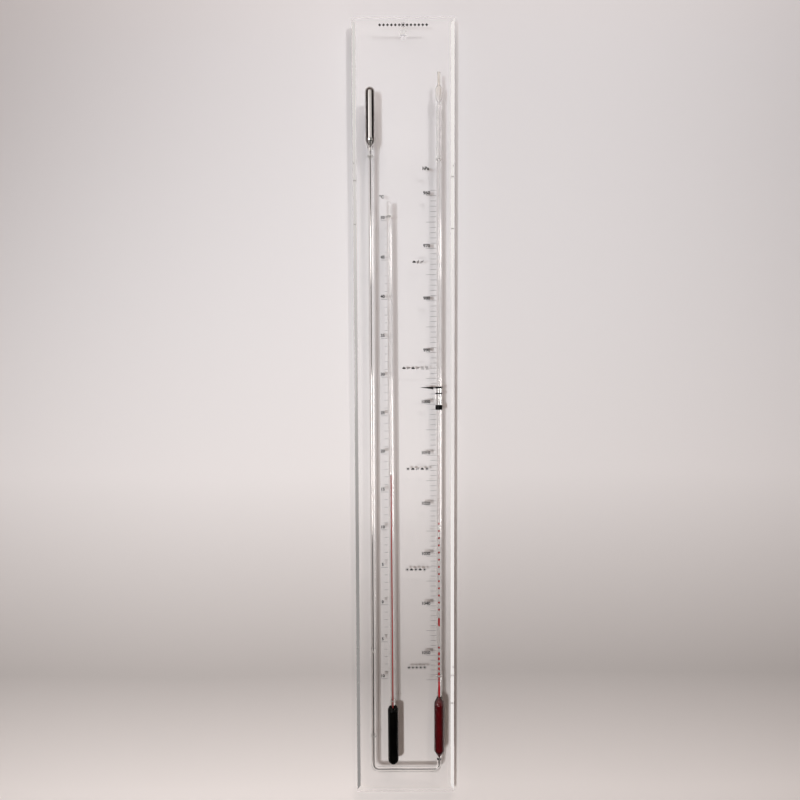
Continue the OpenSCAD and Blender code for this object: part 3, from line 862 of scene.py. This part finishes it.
# Finishes of the CAD nodes that show
FINISHES = {
    "backplate": ACRYLIC, "thermometer_stem": GLASS, "thermometer_bulb": GLASS,
    "spirit_in_bulb": SPIRIT, "thermometer_cap": BLACK, "marker_sleeve": SLEEVE,
    "marker_pointer": BLACK, "marker_middle_ring": BLACK, "marker_lower_band": BLACK,
    "mercury_leg_upper_loop": WIRE, "mercury_leg_lower_loop": WIRE,
    "indicator_upper_loop": WIRE, "indicator_lower_loop": WIRE,
    "thermometer_upper_loop": WIRE, "thermometer_lower_loop": WIRE,
}
for name, material in FINISHES.items():
    NODES[name].material_slots[0].material = material


# Printed scales, on the front face of the plate
FRONT_Y = low("backplate").y
INK_T = 0.05 * MM
INK_Y = FRONT_Y - INK_T / 2


def ink_bar(name, x0, x1, z, height):
    """A thin bar of ink from x0 to x1, centred on the height z."""
    nothing_selected()
    bpy.ops.mesh.primitive_cube_add(
        size=1, location=((x0 + x1) / 2, INK_Y, z), scale=(x1 - x0, INK_T, height)
    )
    bar = bpy.context.object
    bar.name = name
    settle(bar)
    return bar


def ladder(name, x0, x1, z, height, pitch, drift, count):
    """Bars at equal steps down the plate; drift is how far each step moves in X."""
    rung = ink_bar(name, x0, x1, z, height)
    array = rung.modifiers.new("rungs", "ARRAY")
    array.count = count
    array.use_relative_offset = False
    array.use_constant_offset = True
    array.constant_offset_displace = (drift, 0, -pitch)
    only(rung)
    bpy.ops.object.modifier_apply(modifier="rungs")
    return rung


# Height of a capital as a share of the type's size, and how much the strokes are thickened
CAP_SHARE = 0.73
TYPE_WEIGHT = 0.2 * MM


def ink_text(words, x, z, height, align="CENTER"):
    """Flat type centred on the height z; x is its middle, or its right end."""
    nothing_selected()
    bpy.ops.object.text_add(location=(x, FRONT_Y, z), rotation=(math.pi / 2, 0, 0))
    text = bpy.context.object
    text.data.body = words
    text.data.size = height / CAP_SHARE
    text.data.align_x = align
    text.data.align_y = "CENTER"
    text.data.extrude = INK_T / 2
    text.data.offset = TYPE_WEIGHT
    text.data.resolution_u = 4
    bpy.ops.object.convert(target="MESH")
    piece = bpy.context.object
    piece.location.y = INK_Y
    settle(piece)
    return piece


# Pressure scale
HPA_FIRST = 959
HPA_LAST = 1055
HPA_960_Z = -186.2 * MM
HPA_PITCH = 6.143 * MM
HPA_RIGHT = 37.97 * MM
HPA_DRIFT = -0.0041 * MM
HPA_SHORT_L = 6.6 * MM
HPA_LONG_L = 11.8 * MM
TICK_H = 0.3 * MM
HPA_NUMBER_RIGHT = 31 * MM
HPA_NUMBER_RISE = 3 * MM
HPA_NUMBER_H = 4 * MM
HPA_UNIT_AT = (25.9 * MM, -154.9 * MM)

# Temperature scale
CELSIUS_TOP = 50
CELSIUS_BOTTOM = -10
CELSIUS_TOP_Z = -215 * MM
CELSIUS_PITCH = 9.22 * MM
CELSIUS_RIGHT = -18.7 * MM
CELSIUS_DRIFT = -0.045 * MM
CELSIUS_SHORT_L = 3.9 * MM
CELSIUS_LONG_L = 8.2 * MM
CELSIUS_NUMBER_X = -24.9 * MM
CELSIUS_NUMBER_RISE = 3.4 * MM
CELSIUS_NUMBER_H = 3.6 * MM
CELSIUS_UNIT_AT = (-26.1 * MM, -187.6 * MM)


def hpa_z(value):
    return HPA_960_Z - (value - 960) * HPA_PITCH


def make_pressure_scale():
    first, count = hpa_z(HPA_FIRST), HPA_LAST - HPA_FIRST + 1
    short = ladder(
        "short", HPA_RIGHT - HPA_SHORT_L, HPA_RIGHT, first, TICK_H, HPA_PITCH, HPA_DRIFT, count
    )
    long = ladder(
        "long", HPA_RIGHT - HPA_LONG_L, HPA_RIGHT - HPA_SHORT_L, hpa_z(960), TICK_H,
        5 * HPA_PITCH, 5 * HPA_DRIFT, (HPA_LAST - 960) // 5 + 1,
    )
    parts = [short, long]
    for value in range(960, HPA_LAST + 1, 10):
        parts.append(ink_text(
            str(value), HPA_NUMBER_RIGHT + (value - 960) * HPA_DRIFT,
            hpa_z(value) + HPA_NUMBER_RISE, HPA_NUMBER_H, "RIGHT",
        ))
    parts.append(ink_text("hPa", *HPA_UNIT_AT, HPA_NUMBER_H))
    finished(join(parts, "pressure_scale"), INK)


def make_temperature_scale():
    count = CELSIUS_TOP - CELSIUS_BOTTOM + 1
    right, top = CELSIUS_RIGHT, CELSIUS_TOP_Z
    parts = [
        ladder("short", right - CELSIUS_SHORT_L, right, top, TICK_H, CELSIUS_PITCH,
               CELSIUS_DRIFT, count),
        ladder("long", right - CELSIUS_LONG_L, right - CELSIUS_SHORT_L, top, TICK_H,
               5 * CELSIUS_PITCH, 5 * CELSIUS_DRIFT, (count - 1) // 5 + 1),
    ]
    for value in range(CELSIUS_TOP, CELSIUS_BOTTOM - 1, -5):
        below = CELSIUS_TOP - value
        parts.append(ink_text(
            str(abs(value)), CELSIUS_NUMBER_X + below * CELSIUS_DRIFT,
            top - below * CELSIUS_PITCH + CELSIUS_NUMBER_RISE, CELSIUS_NUMBER_H,
        ))
    parts.append(ink_text("°C", *CELSIUS_UNIT_AT, CELSIUS_NUMBER_H))
    finished(join(parts, "temperature_scale"), INK)


def ink_disc(x, z, r):
    nothing_selected()
    bpy.ops.mesh.primitive_cylinder_add(
        vertices=20, radius=r, depth=INK_T, location=(x, INK_Y, z), rotation=(math.pi / 2, 0, 0)
    )
    settle(bpy.context.object)
    return bpy.context.object


def ink_stroke(x, z, length, width, degrees):
    """A short stroke round its middle, turned up from level by an angle."""
    stroke = ink_bar("stroke", -length / 2, length / 2, 0, width)
    stroke.location = (x, 0, z)
    stroke.rotation_euler.y = -math.radians(degrees)
    settle(stroke)
    return stroke


# Weather signs, each about as wide and high as s round the middle x, z
def sun(x, z, s):
    rays = []
    for i in range(8):
        angle = math.pi / 4 * i
        rays.append(ink_stroke(
            x + 0.44 * s * math.cos(angle), z + 0.44 * s * math.sin(angle),
            0.2 * s, 0.1 * s, math.degrees(angle),
        ))
    return [ink_disc(x, z, 0.26 * s)] + rays


def cloud(x, z, s):
    return [
        ink_disc(x - 0.27 * s, z - 0.08 * s, 0.19 * s), ink_disc(x, z + 0.06 * s, 0.28 * s),
        ink_disc(x + 0.29 * s, z - 0.07 * s, 0.2 * s),
        ink_bar("base", x - 0.27 * s, x + 0.29 * s, z - 0.18 * s, 0.18 * s),
    ]


def rain(x, z, s):
    return [ink_stroke(x + 0.3 * s * i, z + 0.1 * s * i, 0.6 * s, 0.13 * s, 65) for i in (-1, 0, 1)]


def wind(x, z, s):
    return [
        ink_bar("gust", x - (0.5 - 0.1 * i) * s, x + (0.3 + 0.1 * i) * s, z + (0.3 - 0.3 * i) * s,
                0.12 * s)
        for i in range(3)
    ]


def bolt(x, z, s):
    return [
        ink_stroke(x + 0.06 * s, z + 0.24 * s, 0.6 * s, 0.17 * s, 60),
        ink_bar("step", x - 0.18 * s, x + 0.2 * s, z, 0.14 * s),
        ink_stroke(x - 0.05 * s, z - 0.25 * s, 0.6 * s, 0.17 * s, 60),
    ]


SIGN_H = 4.3 * MM
# Left end, right end and height of each row of signs, and what stands in it
SIGN_ROWS = (
    (9.5, 23.7, -263.2, (cloud, bolt, rain)),
    (-3.2, 29.8, -388.6, (cloud, rain, cloud, rain, wind, wind)),
    (1.2, 29.7, -509.7, (sun, cloud, rain, cloud, sun)),
    (0.1, 26.3, -632.7, (sun, cloud, sun, cloud, sun)),
    (2.1, 26.1, -754.4, (sun, sun, sun, sun, sun)),
)


def make_weather_signs():
    parts = []
    for left, right, z, signs in SIGN_ROWS:
        pitch = (right - left) * MM / len(signs)
        for i, sign in enumerate(signs):
            parts += sign(left * MM + (i + 0.5) * pitch, z * MM, SIGN_H)
    finished(join(parts, "weather_signs"), INK)


HEAD_Z = 8.9 * MM
HEAD_SUN = 5.6 * MM
HEAD_SIDE = 6
HEAD_PITCH = 4.55 * MM
LOZENGE = 2.5 * MM


def make_head_ornament():
    """A sun between two rows of lozenges, at the head of the plate."""
    parts = sun(0, HEAD_Z, HEAD_SUN)
    for side in (-1, 1):
        for i in range(1, HEAD_SIDE + 1):
            parts.append(ink_stroke(side * i * HEAD_PITCH, HEAD_Z, LOZENGE, LOZENGE, 45))
    finished(join(parts, "head_ornament"), INK)


make_pressure_scale()
make_temperature_scale()
make_weather_signs()
make_head_ornament()


# Stage: the wall that the plate hangs on, a floor, lamps and the room's light
FOOT_GAP = 0.3 * MM
WALL_TILT = math.radians(0.24)
WALL_W = 3.2
WALL_TOP = 1.2
FLOOR_Z = -1.25
FLOOR_DEPTH = 2.6
FLOOR_W = 1.2
# The wall is plain and pale, with painted shade that makes it a little dimmer on the right, and one
# soft painted shadow across it at the height of the liquids' bulbs. A painted warm light tints it
# low down
WALL_TONE = 0.85
SHADOW_BAND_TONE = 0.5
SHADOW_BAND_FROM = -0.9
SHADOW_BAND_AT = -0.75
SHADOW_BAND_TO = -0.5
WALL_LEFT = ((SHADOW_BAND_FROM, WALL_TONE), (SHADOW_BAND_AT, SHADOW_BAND_TONE), (SHADOW_BAND_TO, WALL_TONE))
RIGHT_PAINTED_SHADE_SHARE = 0.9
WALL_RIGHT = tuple((z, tone * RIGHT_PAINTED_SHADE_SHARE) for z, tone in WALL_LEFT)
WALL_TINT = ((SHADOW_BAND_AT, (1, 0.9, 0.85)), (0, (0.97, 0.97, 1)))
# From so far left to so far right of the middle, the left tones go over into the right ones
WALL_TURN = 0.08
FLOOR_TONE = ((FLOOR_Z, 0.8),)
FLOOR_TINT = ((FLOOR_Z, (1, 0.985, 0.97)),)
FLOOR_IN_GLOSS = 0.1
WALL_GRAIN = 1.4
FLOOR_GRAIN = 2.0
# How far the grain moves the tones in height
WAVER = 0.03
# The plate gathers light, so the wall is paler behind it. Its tones are taken times the first
# number beside the plate, and times the second behind it: across the turn, and by height
BESIDE_PLATE = 0.9
BEHIND_PLATE = 1.0
PLATE_ACROSS = ((0.1, 0.0), (0.14, 1.0), (0.86, 1.0), (0.9, 0.0))
PLATE_UP = ((-0.914, 0.0), (-0.91, 1.0), (0.019, 1.0), (0.023, 0.0))


def shiny_rays(tree):
    """1 for what gloss and glass show, 0 for everything else."""
    rays = add(tree, "LightPath")
    return calculate(tree, "MAXIMUM", [rays, "Is Glossy Ray"], [rays, "Is Transmission Ray"])


def window_share(tree):
    """How much of the windows a ray shows: all through glass, some straight off a face, and
    nothing in the plate's edges, whose light has gone through one face only."""
    rays = add(tree, "LightPath")
    gone_through = remap(tree, rays, "Transmission Depth", 0, 2)
    stops = [(0.2, STRAIGHT_OFF), (0.3, 0.0), (0.7, 0.0), (0.8, 1.0)]
    return ramp(tree, gone_through, "Result", stops)


def stage_paint(name, grain, left, right, tint, in_gloss=1.0):
    """Matt paint whose tone, painted shade included, changes slowly with height, from the left to
    the right. Its back lets everything through, and gloss and glass show it darker by the share
    in_gloss."""
    material, tree, output = new_material(name)
    paint = add(tree, "BsdfPrincipled", i_Roughness=0.9)
    place, parts = place_parts(tree)
    cloud = add(tree, "TexNoise", i_Scale=grain, i_Detail=3.0)
    plug(tree, place, "Object", cloud, "Vector")
    waver = calculate(tree, "MULTIPLY_ADD", [cloud, "Fac"], WAVER, [parts, "Z"])
    height = remap(tree, waver, "Value", FLOOR_Z, WALL_TOP)
    level = remap(tree, parts, "Z", FLOOR_Z, WALL_TOP)
    across = remap(tree, parts, "X", -WALL_TURN, WALL_TURN)

    def by_height(source, stops):
        span = WALL_TOP - FLOOR_Z
        return ramp(tree, source, "Result", [((z - FLOOR_Z) / span, tone) for z, tone in stops])

    tone = blend(tree, across, "Result", by_height(height, left), by_height(height, right))
    behind_plate = calculate(
        tree, "MULTIPLY", [ramp(tree, across, "Result", PLATE_ACROSS), "Color"],
        [by_height(level, PLATE_UP), "Color"],
    )
    gathered = remap(tree, behind_plate, "Value", 0, 1, BESIDE_PLATE, BEHIND_PLATE)
    shiny = remap(tree, shiny_rays(tree), "Value", 0, 1, 1, in_gloss)
    share = calculate(tree, "MULTIPLY", [gathered, "Result"], [shiny, "Result"])
    shown = calculate(tree, "SCALE", [tone, 2], [share, "Value"], kind="VectorMath")
    tinted = calculate(
        tree, "MULTIPLY", [shown, "Vector"], [by_height(height, tint), "Color"],
        kind="VectorMath",
    )
    plug(tree, tinted, "Vector", paint, "Base Color")
    facing = add(tree, "NewGeometry")
    clear = add(tree, "BsdfTransparent")
    mix = add(tree, "MixShader")
    plug(tree, facing, "Backfacing", mix, "Fac")
    plug(tree, paint, "BSDF", mix, 1)
    plug(tree, clear, "BSDF", mix, 2)
    plug(tree, mix, "Shader", output, "Surface")
    return material


def stage_sheet(name, at, turn, width, depth, paint):
    nothing_selected()
    bpy.ops.mesh.primitive_plane_add(size=1, location=at, rotation=turn)
    sheet = bpy.context.object
    sheet.name = name
    sheet.scale = (width, depth, 1)
    settle(sheet)
    sheet.data.materials.append(paint)
    return sheet


def make_stage():
    wall_z = (WALL_TOP + FLOOR_Z) / 2
    wall_y = FOOT_GAP + (wall_z - low("backplate").z) * math.tan(WALL_TILT)
    stage_sheet(
            "wall", (0, wall_y, wall_z), (math.pi / 2 - WALL_TILT, 0, 0),
            WALL_W, WALL_TOP - FLOOR_Z,
            stage_paint("wall_paint", WALL_GRAIN, WALL_LEFT, WALL_RIGHT, WALL_TINT),
        )
    stage_sheet(
            "floor", (0, wall_y - FLOOR_DEPTH / 2, FLOOR_Z), (0, 0, 0),
            FLOOR_W, FLOOR_DEPTH,
            stage_paint(
                "floor_paint", FLOOR_GRAIN, FLOOR_TONE, FLOOR_TONE, FLOOR_TINT, FLOOR_IN_GLOSS
            ),
        )


BRIGHTEST = 10.0
# Share of the windows' light that comes straight off a face
STRAIGHT_OFF = 0.4
ROOM_TINT = (1, 0.95, 0.92)
# The room's tones from straight down, 0, by level, 0.5, to straight up, 1, as shares of the
# brightest: in front, at the windows and at the sides
FRONT_BANDS = [
    (0.2, 0.06), (0.23, 0.004), (0.36, 0.008), (0.38, 0.036), (0.49, 0.036), (0.51, 0.02),
    (0.57, 0.02), (0.59, 0.036), (0.615, 0.036), (0.635, 0.01), (0.66, 0.01), (0.68, 0.07),
    (0.8, 0.06),
]
WINDOW_BANDS = [
    (0.2, 0.06), (0.23, 0.004), (0.36, 0.008), (0.375, 1.0), (0.49, 1.0), (0.505, 0.02),
    (0.57, 0.02), (0.585, 1.0), (0.615, 1.0), (0.63, 0.01), (0.66, 0.01), (0.68, 0.2),
    (0.72, 0.14), (0.8, 0.09),
]
SIDE_BANDS = [
    (0.2, 0.06), (0.23, 0.009), (0.35, 0.009), (0.37, 0.066), (0.64, 0.075), (0.665, 0.003),
    (0.725, 0.003), (0.75, 0.075),
]
# What the plate's bevels show of the far left, and of the far right, which is darker low down,
# by the slope of the light inside the plate
FAR_LEFT = [(0.5, 0.09)]
FAR_RIGHT = [(0.4, 0.03), (0.6, 0.07)]
# Where the windows and the right half are, from far left, 0, to far right, 1
AT_WINDOW = [(0.17, 0.0), (0.2, 1.0), (0.35, 1.0), (0.38, 0.0)]
AT_RIGHT = [(0.48, 0.0), (0.52, 1.0)]
# Where the far sides and the front are, from straight in front, 0, to straight behind, 1
AT_FAR_SIDE = [(0.455, 0.0), (0.46, 1.0), (0.483, 1.0), (0.488, 0.0)]
IN_FRONT = [(0.15, 1.0), (0.2, 0.0)]
# The even light that matt surfaces get, and what the camera sees past the wall
ROOM_LIGHT = (0.12, 0.085, 0.068, 1)
BACKDROP = (0.86, 0.85, 0.85, 1)

# Name, kind, place, what it points at, power, colour and size: a far lamp low on the left that
# fades towards the top, a small one at the upper right, and a broad glow from above
LAMPS = (
    ("left_lamp", "SPOT", (-2.2, -6.0, -0.9), (0, 0, -0.9), 1310, (0.89, 0.955, 1), 0.22),
    ("right_lamp", "AREA", (0.4, -0.8, 0.5), (0, 0, -0.1), 3.5, (1, 0.97, 0.955), 0.08),
    ("glow_above", "AREA", (0, -0.6, 0.85), (0, 0, 0), 9.6, (1, 0.9, 0.85), 0.9),
)
SPOT_ANGLE = math.radians(20.5)


def lamp(name, kind, at, towards, power, colour, size):
    """A lamp that lights, but isn't seen in gloss or glass: the room's windows are."""
    bpy.ops.object.light_add(type=kind, location=at)
    light = bpy.context.object
    light.name = name
    light.visible_glossy = False
    light.visible_transmission = False
    light.rotation_euler = (Vector(towards) - Vector(at)).to_track_quat("-Z", "Y").to_euler()
    light.data.energy = power
    light.data.color = colour
    if kind == "SPOT":
        light.data.shadow_soft_size = size
        light.data.spot_size = SPOT_ANGLE
        light.data.spot_blend = 1
    else:
        light.data.shape = "DISK"
        light.data.size = size


def make_room():
    """Even light for matt surfaces, and a room for gloss and glass to show: bands of pale and
    dark by height, with windows to the left in front."""
    world = bpy.data.worlds.new("room")
    world.use_nodes = True
    tree = world.node_tree
    tree.nodes.clear()
    output = tree.nodes.new("ShaderNodeOutputWorld")
    _, parts = place_parts(tree, "Generated")
    spans = {axis: remap(tree, parts, axis, -1, 1) for axis in "XYZ"}
    front, window, left, right, side = [
        ramp(tree, spans["Z"], "Result", bands)
        for bands in (FRONT_BANDS, WINDOW_BANDS, FAR_LEFT, FAR_RIGHT, SIDE_BANDS)
    ]
    at_window, at_right = [ramp(tree, spans["X"], "Result", x) for x in (AT_WINDOW, AT_RIGHT)]
    at_far_side, in_front = [ramp(tree, spans["Y"], "Result", y) for y in (AT_FAR_SIDE, IN_FRONT)]
    shown = shaded_by(tree, at_window, window_share(tree))
    ahead = blend(tree, shown, 2, front, window)
    far = blend(tree, at_right, "Color", left, right)
    beside = blend(tree, at_far_side, "Color", side, far)
    around = blend(tree, in_front, "Color", beside, ahead)
    warm = calculate(tree, "MULTIPLY", [around, 2], ROOM_TINT, kind="VectorMath")
    bright = calculate(tree, "SCALE", [warm, "Vector"], BRIGHTEST, kind="VectorMath")
    lit = add(tree, "Mix", data_type="RGBA")
    lit.inputs[6].default_value = ROOM_LIGHT
    plug(tree, shiny_rays(tree), "Value", lit, 0)
    plug(tree, bright, "Vector", lit, 7)
    seen = add(tree, "Mix", data_type="RGBA")
    seen.inputs[7].default_value = BACKDROP
    plug(tree, add(tree, "LightPath"), "Is Camera Ray", seen, 0)
    plug(tree, lit, 2, seen, 6)
    light = add(tree, "Background")
    plug(tree, seen, 2, light, "Color")
    plug(tree, light, "Background", output, "Surface")
    bpy.context.scene.world = world


make_stage()
make_room()
for values in LAMPS:
    lamp(*values)
bpy.context.scene.view_settings.view_transform = "Standard"
nothing_selected()
